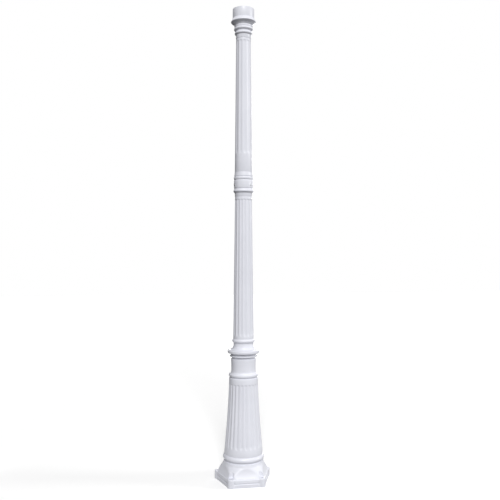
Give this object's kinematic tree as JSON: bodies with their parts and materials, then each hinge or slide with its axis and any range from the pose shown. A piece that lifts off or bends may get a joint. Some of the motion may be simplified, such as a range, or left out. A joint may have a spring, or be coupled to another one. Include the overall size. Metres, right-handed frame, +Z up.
{
  "type": "fluted lamp post without its lamp head",
  "caption": "Tall round fluted post in two tapered columns on a bell base with a five-sided moulded foot; a plain round cup at the top takes a lamp head.",
  "frame": {"origin": "on the ground, on the post's axis, in the middle of the foot's underside", "axes": "+Z up along the post; one of the foot's five flat sides faces -Y"},
  "size_m": [0.1982, 0.1898, 1.663],
  "materials": {
    "white_powder_coat": "white powder coat, half gloss, on cast aluminium",
    "bare_aluminium": "bare turned aluminium",
    "stainless_screw": "plain stainless steel"
  },
  "bodies": {
    "root": {"foot_plinth": "white_powder_coat", "base_bell": "white_powder_coat", "base_neck": "white_powder_coat", "base_cap": "white_powder_coat", "column_foot_ring": "white_powder_coat", "lower_column": "white_powder_coat", "collar_lower_ring": "white_powder_coat", "collar_band": "white_powder_coat", "collar_upper_ring": "white_powder_coat", "coupling_sleeve": "bare_aluminium", "upper_column": "white_powder_coat", "head_neck": "white_powder_coat", "head_flange": "white_powder_coat", "fitter_cup": "white_powder_coat", "collar_screw_1": "stainless_screw", "collar_screw_2": "stainless_screw", "collar_screw_3": "stainless_screw"}
  },
  "joints": []
}
